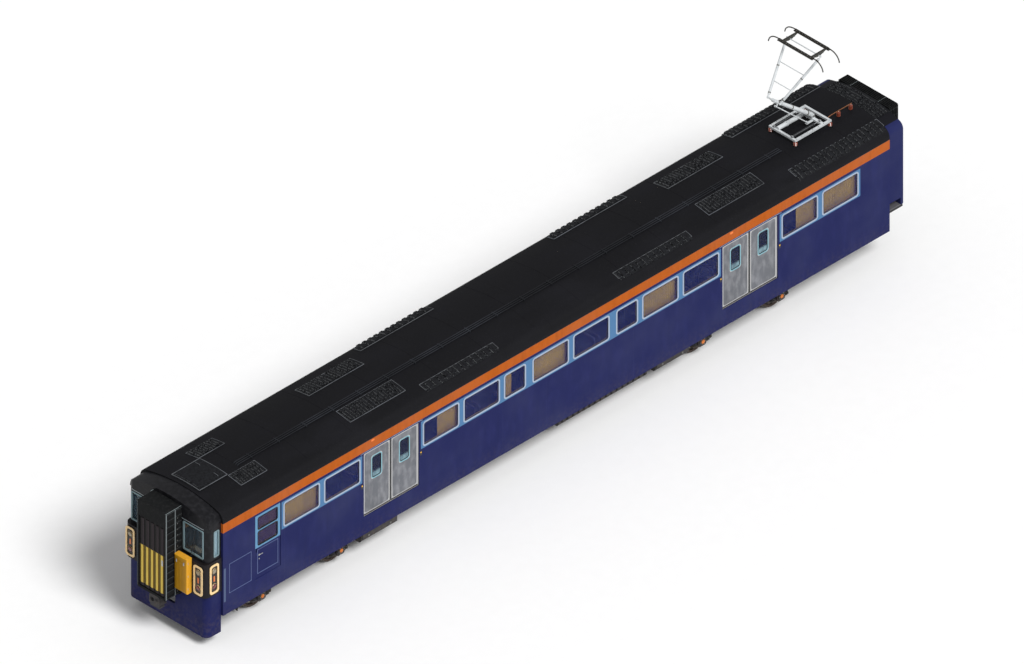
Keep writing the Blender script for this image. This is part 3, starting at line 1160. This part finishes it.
for end in ("front", "rear"):
    body = f"bogie_{end}"
    axle_x = np.array([axles[f"wheelset_{end}_{number}"] for number in (1, 2)])
    feet = places((axle_x[:, None] + (-0.205, 0.205)).ravel(), 1.0, axle_z - 0.034)
    springs = coil(feet, feet + (0, 0, 0.214), 0.066, 0.0115, 5.5, 16, 8)
    piece(f"{body}_springs", both_hands(springs), spring_finish, body)
    boxes = places(axle_x, 1.1165, axle_z)
    bolts = (boxes[:, None] + 0.083 * circle(X_AXIS, Z_AXIS, 6)).reshape(-1, 3)
    bolts = turned(bolts, Y_AXIS, BOLT, 6)
    piece(f"{body}_cover_bolts", both_hands(bolts), bolt_finish, body)
    axle_caps = turned(boxes, Y_AXIS, AXLE_CAP, 24)
    piece(f"{body}_axle_caps", both_hands(axle_caps), cap_finish, body)
    blocks, hangers = [], []
    for x, inward in zip(axle_x, (-1, 1)):
        blocks.append(brake_block(x, 0.12 if inward > 0 else math.pi - 0.12))
        foot = np.array([x + inward * (wheel_r + 0.05), BLOCK_Y, axle_z + 0.05])
        hangers.append(bent(foot + HANGER * (inward, 1, 1), 0.03, 0.016))
        bush = foot + (inward * 0.022, -0.03, -0.01)
        hangers.append(tube([bush, bush + (0, 0.08, 0)], 0.018, 12))
        guard_x = x - inward * np.array([0.36, 0.42, 0.47, 0.475])
        guard = places(guard_x, [1.0, 0.93, 0.78, 0.755], axle_z + np.array([0.27, 0.02, -0.16, -0.32]))
        hangers.append(bent(guard, 0.05, 0.017))
        guard_plate = guard[-1] + (0.02 if inward < 0 else 0.0, 0, 0.02)
        hangers.append(plate(guard_plate, Y_AXIS, Z_AXIS, 0.07, 0.09, 0.018, 0.012))
    piece(f"{body}_brake_blocks", both_hands(*blocks), block_finish, body)
    piece(f"{body}_brake_hangers", both_hands(*hangers), bogie_finish, body)
    middle = axle_x.mean()
    run_x = middle + np.array([-1.15, -0.75, -0.52, 0.52, 0.75, 1.15])
    run = places(run_x, 1.075, axle_z + np.array([0.28, 0.28, 0.16, 0.16, 0.28, 0.28]))
    clip_x = middle + np.array([-1.0, -0.25, 0.25, 1.0])
    run_clips = places(clip_x, 1.064, axle_z + np.array([0.29, 0.17, 0.17, 0.29]))
    pipes = [bent(run, 0.06, 0.009), bent(run + (0, 0, 0.028), 0.06, 0.006)]
    pipes.append(plate(run_clips, -X_AXIS, Z_AXIS, 0.03, 0.07, 0.022, 0.006))
    piece(f"{body}_air_pipes", both_hands(*pipes), handle_finish, body)

for name, x in axles.items():
    hub_bolts = turned((x, 0.816, axle_z) + 0.098 * circle(X_AXIS, Z_AXIS, 12), Y_AXIS, BOLT, 6)
    piece(f"{name}_hub_bolts", both_hands(hub_bolts), bolt_finish, name)


# ---- Case lids, pipes and straps -------------------------------------
# Each lid hangs on two strap hinges and shuts on two quarter-turn latches; some have pressed louvres. Steel
# straps hold the reservoirs, air pipes run the length of the car inside the sole bars, and guards cover the
# cooling fans.
cases = [  # where each starts behind the front, its length, its underside, and whether it has louvres
    (5.17, 1.18, 0.43, True),
    (6.5, 1.4, 0.69, False),
    (8.05, 1.5, 0.69, False),
    (14.88, 1.09, 0.47, True),
]
case_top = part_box("underfloor_cases")[1].z
lid_face = 1.254
LATCH = [(0.026, 0), (0.026, 0.004), (0.022, 0.007), (0.006, 0.0075)]
WELT = [(0.0, 0.0), (0.006, 0.001), (0.006, 0.006), (0.0, 0.008)]
hinges, latches, louvres, welts = [], [], [], []
for start, length, low, pressed in cases:
    lids = round(length / 0.9)
    wide = length / lids - 0.06
    z0, z1 = low + 0.095, case_top - 0.035
    for number in range(lids):
        mid = behind(start + length) + (number + 0.5) * length / lids
        for side in (-1, 1):
            at = np.array([mid + side * wide * 0.32, lid_face - 0.001, z1 - 0.035])
            hinges.append(plate(at, -X_AXIS, Z_AXIS, 0.05, 0.06, 0.007, 0.012))
            hinges.append(tube([at + (-0.03, 0.008, 0.028), at + (0.03, 0.008, 0.028)], 0.009, 10))
            at[2] = z0 + 0.05
            latches.append(turned(at, Y_AXIS, LATCH, 18))
            latches.append(plate(at + (0, 0.006, 0), -X_AXIS, Z_AXIS, 0.012, 0.04, 0.009, 0.005))
            if pressed:
                row_z = np.arange(z0 + 0.14, z1 - 0.12, 0.045)
                slots = places(mid + side * wide * 0.22, lid_face - 0.002, row_z)
                louvres.append(plate(slots, -X_AXIS, Z_AXIS, wide * 0.34, 0.022, 0.012, 0.010, 0.006))
        lid = (mid, lid_face - 0.014, (z0 + z1) / 2)
        welts.append(seal(lid, -X_AXIS, Z_AXIS, wide, z1 - z0, 0.025, WELT))
piece("case_hinges", both_hands(*hinges), bogie_finish)
piece("case_latches", both_hands(*latches), bolt_finish)
piece("case_louvres", both_hands(*louvres), case_finish)
piece("case_lid_seals", both_hands(*welts), seal_finish)

tank_low, tank_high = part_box("air_reservoirs")
tank_y, tank_z, strap_r = 0.65, 0.821, 0.193
PLUG = [(0.030, 0), (0.030, 0.016), (0.022, 0.020), (0.022, 0.032), (0.012, 0.036)]
angle = np.linspace(math.radians(-230), math.radians(50), 29)[:, None]
over, proud = np.array([(-0.025, 0.0), (-0.025, 0.003), (0.025, 0.003), (0.025, 0.0)]).T
strap_y, strap_z = tank_y + (strap_r + proud) * np.cos(angle), tank_z + (strap_r + proud) * np.sin(angle)
straps = [skin(places(x + over, strap_y, strap_z), round_v=True, ends=True)
          for x in (tank_low.x + 0.35, tank_high.x - 0.35)]
plugs, lines = [], []
for x, way, reach in ((tank_low.x, -1, 0.10), (tank_high.x, 1, 0.08)):
    plugs.append(turned((x - way * 0.001, tank_y, tank_z), way * X_AXIS, PLUG, 6))
    away = x + way * np.array([0.03, reach, reach, reach])
    run = places(away, [tank_y, tank_y, tank_y, 1.27], [tank_z, tank_z, 1.0, 1.0])
    lines.append(bent(run, 0.04, 0.012))
piece("reservoir_straps", both_hands(*straps), bogie_finish)
piece("reservoir_plugs", both_hands(*plugs), bolt_finish)
for z, radius in ((0.86, 0.012), (0.90, 0.012), (0.94, 0.008)):
    lines.append(tube(places(behind(np.array([0.9, 11.0, 22.2])), 1.278, z), radius))
brackets = places(behind(np.arange(1.2, 22.2, 1.05)), 1.262, 0.92)
lines.append(plate(brackets, -X_AXIS, Z_AXIS, 0.03, 0.16, 0.036, 0.006))
piece("air_pipes", both_hands(*lines), beam_finish)

trafo_low, trafo_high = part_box("transformer")
fan_finish = laminate("fan_guard_paint", tint(60, 62, 66), tint(36, 37, 40), 0.5)
guards = []
for x in np.linspace(trafo_low.x + 0.55, trafo_high.x - 0.55, 3):
    for radius in (0.05, 0.10, 0.15, 0.20):
        inner, outer = radius - 0.004, radius + 0.004
        wire = [(inner, 0.0), (outer, 0.0), (outer, 0.005), (inner, 0.005)]
        guards.append(hoop((x, 0.0, trafo_low.z - 0.006), Z_AXIS, wire))
    hub = np.array([x, 0, trafo_low.z - 0.002])
    guards += [tube([hub - way, hub + way], 0.004, 6) for way in 0.205 * circle(X_AXIS, Y_AXIS, 8)[:4]]
piece("transformer_fan_guards", guards, fan_finish)


# ---- Inside ----------------------------------------------------------
# Ribbed rubber floor, laminate partitions, moulded seat pedestals and clear draught screens beside the
# doors.
tread_finish = Finish("floor_rubber")
studs = tread_finish.lines(tread_finish.y + WIDE, 0.03, 0.012)
dull_floor = tread_finish.mix(tread_finish.noise(7.0, detail=5.0), tint(74, 74, 80), tint(98, 96, 98))
tread_finish.close(
    Base_Color=tread_finish.mix(tread_finish.z < floor_z - 0.03, dull_floor, tint(38, 38, 40)),
    Roughness=0.62 + tread_finish.noise(30.0) * 0.2,
    Normal=tread_finish.bump(studs, 0.0012),
)
dress(tread_finish.material, "floor")

end_finish = Finish("rear_end_enamel")
end_black = (end_finish.z > 3.36) * (end_finish.side < 1.12)
paint = end_finish.mix(end_black, weather(end_finish, body_blue, 0.06, 0.35, 1.5), tint(26, 26, 30))
end_finish.coat(paint, 0.36 + end_finish.noise(18.0) * 0.2, 200.0, 0.0003, 0.06)
dress(end_finish.material, "rear_end")

rack_finish = laminate("rack_paint", tint(176, 172, 160), tint(120, 114, 100))
dress(laminate("partition_laminate", lining_colour, tint(168, 134, 86)), "cab_partition")
dress(laminate("pedestal_moulding", tint(70, 74, 86), tint(44, 46, 56)), "seat_pedestals")
dress(laminate("desk_moulding", tint(150, 150, 144), tint(104, 104, 100)), "cab_fittings")
dress(rack_finish, "luggage_racks")
dress(glazing("draught_screen_glass", tint(150, 142, 120), 0.55, 0.1), "draught_screens")


# ---- Seat cushions ---------------------------------------------------
# Benches for two and the driver's seat: foam under moquette, drawn down along its sewn seams and piped
# round the edge. One squab and one back are blown up as cloth, and every bench carries the same pair.
def even(outline, count):
    """The closed outline again, as count points the same distance apart along it."""
    closed = np.concatenate([outline, outline[:1]])
    step = np.linalg.norm(np.diff(closed, axis=0), axis=1)
    reached = np.concatenate([[0], np.cumsum(step)])
    wanted = np.linspace(0, reached[-1], count, endpoint=False)
    return np.stack([np.interp(wanted, reached, closed[:, axis]) for axis in (0, 1)], 1)


CLOTH = {
    "quality": 6,
    "mass": 0.3,
    "tension_stiffness": 18,
    "compression_stiffness": 12,
    "shear_stiffness": 6,
    "bending_stiffness": 0.8,
    "use_pressure": True,
    "uniform_pressure_force": 4.0,
    "vertex_group_mass": "sewn",
}
SWELL_STEPS = 20


def blown_up(points, held):
    """The closed skin's points after it has swelled as cloth, with the held ones pinned."""
    blank = bpy.data.objects.new("blank", joined("blank", [skin(points, round_v=True, ends=True)]))
    SCENE.collection.objects.link(blank)
    group = blank.vertex_groups.new(name="sewn")
    group.add(np.flatnonzero(held).tolist(), 1.0, "REPLACE")
    cloth = blank.modifiers.new("cloth", "CLOTH")
    for key, value in CLOTH.items():
        setattr(cloth.settings, key, value)
    cloth.settings.effector_weights.gravity = 0.0
    for number in range(SWELL_STEPS):
        SCENE.frame_set(number + 1)
    blown = blank.evaluated_get(bpy.context.evaluated_depsgraph_get()).to_mesh()
    result = np.zeros(points.size, np.float32)
    blown.vertices.foreach_get("co", result)
    SCENE.frame_set(1)
    bpy.data.objects.remove(blank)
    return result.reshape(points.shape).astype(float)


def cushion(width, length, thick, seams_across, seams_along=(), count=60, limit=0.013):
    """Closed cushion as across, along and out of its face: outlines drawn in over the back, carried up the
    sides and drawn in over the face, then blown up as cloth whose seams are held down, by no more than the
    limit."""
    half = min(width, length) / 2
    back_draw, face_draw = [0.9, 0.6, 0.3, 0.1], [0.06, 0.16, 0.3, 0.46, 0.62, 0.78, 0.92]
    inward = half * np.array([*back_draw, 0, 0, 0, 0, *face_draw])
    rise = thick * np.array([0, 0, 0, 0, 0.08, 0.35, 0.65, 0.92, *np.ones(7)])
    outlines = []
    for draw in inward:
        outline = rounded(width - 2 * draw, length - 2 * draw, max(0.045 - draw, 0.004))
        outlines.append(even(outline, count))
    across, along = np.moveaxis(np.stack(outlines), -1, 0)
    rounding = np.clip(1 - inward / 0.05, 0, 1) * (rise > 0.5 * thick)
    out = np.broadcast_to((rise - 0.012 * rounding)[:, None], across.shape)
    face = out > thick * 0.7
    sewn = np.zeros(face.shape, bool)
    for place in seams_across:
        sewn |= face & (np.abs(across - place) < width * 0.022)
    for place in seams_along:
        sewn |= face & (np.abs(along - place) < length * 0.03)
    out = out - 0.010 * sewn
    held = sewn | (out < thick * 0.05)
    points = np.stack([across, along, out], -1)
    move = blown_up(points, held) - points
    reach = np.linalg.norm(move, axis=-1, keepdims=True)
    return points + move * np.minimum(1, limit / np.maximum(reach, 1e-9))


def seated(shape, foot, facing, y, low, forward, lean=0.0):
    """Squabs laid flat, or backs stood up with their lean: turns across, along and out into Y, X and Z."""
    across, along, out = np.moveaxis(shape, -1, 0)
    foot, facing, y = (np.reshape(value, (-1, 1, 1)) for value in (foot, facing, y))
    if lean:
        height = along - along.min()
        return places(foot + facing * (forward + out - lean * height), y + across, low + height)
    return places(foot + facing * (forward + along), y + across, low + out + 0.05 * along)


LOW, RAKE = 0.32, 0.09  # height of a squab's underside over the floor, and how far a back leans
BAY_GAP = 0.12  # from the end of a bay to its bench
bench_y = 1.27 - 0.01 - 0.47
benches = []  # foot, the way it looks and the middle of its width
for start, finish in ((2.50, 5.058), (7.008, 16.898), (18.848, 22.345)):
    bays = int((finish - start) / 1.65)
    pitch = (finish - start) / bays
    for number in range(bays):
        for y in (-bench_y, bench_y):
            benches.append((behind(start + number * pitch + BAY_GAP), -1, y))
            benches.append((behind(start + (number + 1) * pitch - BAY_GAP), 1, y))
benches = np.array(benches)

squab = cushion(0.914, 0.372, 0.098, [0.0])
backrest = cushion(0.914, 0.836, 0.078, [0.0], [0.26, -0.20])
driver_squab = cushion(0.436, 0.436, 0.084, [-0.13, 0.13], count=48)
driver_back = cushion(0.386, 0.600, 0.076, [-0.11, 0.11], [0.12], 48)
driver = (behind(1.05), 1.0, 0.85)
padding = [
    (squab, seated(squab, *benches.T, floor_z + LOW + 0.004, 0.305)),
    (backrest, seated(backrest, *benches.T, floor_z + LOW + 0.012, 0.008, RAKE / 0.87)),
    (driver_squab, seated(driver_squab, *driver, floor_z + 0.385, 0.0)),
    (driver_back, seated(driver_back, *driver, floor_z + 0.492, -0.222, RAKE / 0.63)),
]

moquette = Finish("seat_moquette")
cloth_place = moquette.node("ShaderNodeTexCoord", {}, {}, "UV")
weft, warp, _ = moquette.parts(cloth_place)
tuft = moquette.lines(weft + WIDE, 0.005, 0.003) * moquette.lines(warp + WIDE, 0.004, 0.0026)
flecks = moquette.node("ShaderNodeTexNoise", {}, {"Vector": cloth_place, "Scale": 38.0, "Detail": 2.0})
blue = moquette.mix(moquette.noise(9.0, detail=5.0), tint(30, 44, 108), tint(22, 32, 80))
pile = moquette.mix(moquette.lines(weft + WIDE, 0.09, 0.014) * 0.6, blue, tint(64, 92, 158))
pile = moquette.mix((flecks > 0.60) * 0.7, pile, tint(196, 150, 84))
moquette.close(
    Base_Color=moquette.mix((1 - tuft) * 0.45, pile, tint(14, 18, 40)),
    Roughness=0.88 - tuft * 0.06,
    Normal=moquette.bump(tuft, 0.0007),
    Sheen_Weight=0.35,
    Sheen_Roughness=0.5,
)

stuffed = [skin(points, round_v=True, ends=True) for _, points in padding]
cushions = piece("seat_cushions", stuffed, moquette.material, crease=70)
cut = [np.broadcast_to(local[..., :2] + local[..., 2:] * 0.7, (*points.shape[:-1], 2)).reshape(-1, 2)
       for local, points in padding]
corner = np.zeros(len(cushions.data.loops), np.int32)
cushions.data.loops.foreach_get("vertex_index", corner)
cloth_map = cushions.data.uv_layers.new(name="cloth")
cloth_map.data.foreach_set("uv", np.concatenate(cut)[corner].astype(np.float32).ravel())
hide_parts("seats")

EDGE_ROW = 8  # the cushion's outline where its side meets its face


def piping(paths, radius=0.0045, sides=6):
    """Piped edge: a small circle carried round each closed path, square to the way that it runs."""
    way = np.roll(paths, -1, -2) - np.roll(paths, 1, -2)
    way /= np.linalg.norm(way, axis=-1, keepdims=True)
    inner = paths - paths.mean(-2, keepdims=True)
    ring = radius * circle(*square_to(way, inner), sides)
    return skin(paths[..., None, :] + ring, round_u=True, round_v=True)


cord_finish = laminate("seat_piping_vinyl", tint(30, 32, 52), tint(20, 22, 38), 0.5)
cords = [piping(points[:, EDGE_ROW]) for _, points in padding]
piece("seat_piping", cords, cord_finish)


# ---- Curtains --------------------------------------------------------
# Tan woven curtains on a slim rail along the lining, drawn over a few of the windows, with shallow pressed
# pleats.
curtain_finish = Finish("curtain_weave")
weave = curtain_finish.lines(curtain_finish.z + WIDE, 0.004, 0.002)
weave = weave * curtain_finish.lines(curtain_finish.x + FAR, 0.004, 0.002)
fold = curtain_finish.cloud(9.0, 0.35, 0.75, (2.0, 1, 0.3))
curtain_finish.close(
    Base_Color=curtain_finish.mix(fold * 0.4, tint(252, 212, 88), tint(208, 164, 60)),
    Roughness=0.85 - weave * 0.05,
    Normal=curtain_finish.bump(weave, 0.0004),
)
PLEAT_STEPS = 141
drawn = {  # window: the shares of its width between which the curtain hangs
    0: (0.0, 1.0),
    2: (0.5, 1.0),
    4: (0.0, 0.45),
    5: (0.0, 1.0),
    8: (0.0, 1.0),
    10: (0.5, 1.0),
    11: (0.0, 1.0),
}
curtain_y = body_half - 0.105
pleat = curtain_y + 0.003 * np.sin(np.arange(PLEAT_STEPS) * 2 * math.pi / 7)
pleat = np.concatenate([pleat + 0.0005, pleat[::-1] - 0.0005])
height = np.linspace(window_high + 0.02, window_low - 0.03, 5)[:, None]
drops, curtain_rods = [], []
for number, (first, last) in drawn.items():
    start, width = windows[number]
    x = np.linspace(behind(start + first * width - 0.02), behind(start + last * width + 0.02), PLEAT_STEPS)
    drops.append(skin(places(np.concatenate([x, x[::-1]]), pleat, height), round_v=True, ends=True))
    rod_ends = behind(start + np.array([-0.02, width + 0.02]))
    curtain_rods.append(tube(places(rod_ends, curtain_y - 0.008, window_high + 0.026), 0.005))
piece("curtains", both_hands(*drops), curtain_finish.material)
piece("curtain_rails", both_hands(*curtain_rods), rack_finish)


# ---- Saloon fittings -------------------------------------------------
# Yellow grab loops on the aisle corner of each back, lit diffusers down both sides of the ceiling, and a
# brighter lamp in the cab.
grab_finish = enamelled("grab_yellow", tint(236, 178, 40), 0.3, 0.08, 0.0, 0.5)
loop_z = floor_z + LOW + 0.86 + np.array([-0.03, 0.045, 0.045, -0.03])
loops = []
for x, way, y in benches:
    aisle = y - math.copysign(0.40, y)
    loop_y = aisle + np.array([-0.09, -0.09, 0.05, 0.05])
    loops.append(bent(places(x + way * (0.05 - RAKE), loop_y, loop_z), 0.03, 0.0125))
piece("seat_grab_loops", loops, grab_finish)
diffuser = Finish("ceiling_diffuser")
frost = diffuser.noise(14.0)
diffuser.close(
    Base_Color=diffuser.mix(frost, tint(240, 236, 222), tint(226, 220, 202)),
    Roughness=0.4 + frost * 0.2,
    Emission_Color=diffuser.mix(frost, tint(250, 238, 206), tint(236, 222, 186)),
    Emission_Strength=1.2,
)
cab_light = Finish("cab_lamp_diffuser")
ridges = cab_light.lines(cab_light.y + WIDE, 0.02, 0.01)
cab_light.close(
    Base_Color=tint(240, 236, 222),
    Roughness=0.35 + ridges * 0.2,
    Emission_Color=cab_light.mix(ridges, tint(255, 246, 226), tint(240, 228, 200)),
    Emission_Strength=9.0,
)
cab_lamp = plate((behind(1.05), 0.35, crown_z - 0.125), X_AXIS, -Y_AXIS, 0.36, 0.9, 0.03, 0.05, 0.012)
piece("cab_lamp", [cab_lamp], cab_light.material)
light_y = 0.72
spots = places(behind(np.arange(3.2, 22.0, 1.5)), light_y, roof_top(light_y) - 0.092)
covers = plate(spots, X_AXIS, -Y_AXIS, 1.2, 0.13, 0.035, 0.03, 0.012)
piece("ceiling_diffusers", both_hands(covers), diffuser.material)
light_ends = plate(spots + (0.75, 0, 0), X_AXIS, -Y_AXIS, 0.26, 0.15, 0.028, 0.02, 0.006)
piece("diffuser_ends", both_hands(light_ends), rack_finish)


# ---- Driver's desk ---------------------------------------------------
# A moulded desk with three blank displays in a hooded binnacle, a power lever, a brake lever and a row of
# buttons.
desk_top = floor_z + 1.08
display = Finish("display_glass")
sheen = display.noise(5.0)
display.close(
    Base_Color=display.mix(sheen, tint(10, 14, 18), tint(20, 30, 36)),
    Roughness=0.08 + sheen * 0.06,
    Coat_Weight=0.5 + sheen * 0.2,
)
screen_at = places(behind(0.3845), [0.64, 0.79, 0.94], desk_top - 0.02)
screens = plate(screen_at, -Y_AXIS, Z_AXIS, 0.125, 0.10, 0.014, 0.008)
piece("desk_displays", [screens], display.material)
LEVER = np.array([(0, 0, 0), (-0.02, 0, 0.08), (-0.05, 0, 0.12)])
LEVER_KNOB = [(0.010, 0), (0.022, 0.008), (0.024, 0.022), (0.016, 0.036), (0.005, 0.040)]
DESK_BUTTON = [(0.012, 0), (0.012, 0.010), (0.009, 0.014), (0.003, 0.015)]
levers = []
for y in (0.60, 1.00):
    lever_foot = np.array([behind(0.47), y, desk_top - 0.186])
    levers.append(bent(lever_foot + LEVER, 0.03, 0.007))
    levers.append(turned(lever_foot + (-0.05, 0, 0.105), Z_AXIS, LEVER_KNOB, 16))
    levers.append(plate(lever_foot + (-0.01, 0, -0.004), X_AXIS, Y_AXIS, 0.13, 0.05, 0.008, 0.012))
piece("desk_levers", levers, wiper_finish)
button_row = places(behind(0.545), np.linspace(0.58, 1.02, 9), desk_top - 0.196)
piece("desk_buttons", [turned(button_row, Z_AXIS, DESK_BUTTON, 12)], amber_finish)


# ---- Rear end fittings -----------------------------------------------
# Grab rails, jumper sockets with hinged covers and marker lamps on the end bulkhead beside the rear
# gangway.
end_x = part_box("rear_end")[0].x
rail_y = 1.12
post = places(end_x + np.array([0.004, -0.05, -0.05, 0.004]), rail_y, [1.55, 1.55, 2.55, 2.55])
piece("rear_grab_rails", both_hands(bent(post, 0.035, 0.0125, 10)), handle_finish)
socket_at = places(end_x + 0.002, 1.02, [1.66, 1.90])
sockets = plate(socket_at, -Y_AXIS, Z_AXIS, 0.13, 0.15, 0.05, 0.02)
SOCKET_COVER = [(0.05, 0), (0.05, 0.02), (0.044, 0.026), (0.01, 0.028)]
socket_covers = turned(socket_at + (-0.045, 0, -0.01), -X_AXIS, SOCKET_COVER)
piece("rear_jumper_sockets", both_hands(sockets, socket_covers), bogie_finish)
marker = (end_x + 0.001, rail_y, 2.85)
markers = both_hands(turned(marker, -X_AXIS, LENS, 24))
piece("rear_marker_lamps", markers, lens_finish.material, crease=25)
piece("rear_marker_rings", both_hands(hoop(marker, -X_AXIS, LENS_RING)), seal_finish)


# ---- Size ------------------------------------------------------------
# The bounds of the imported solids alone, and of the whole dressed car, go into the size sheet.
low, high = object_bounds()
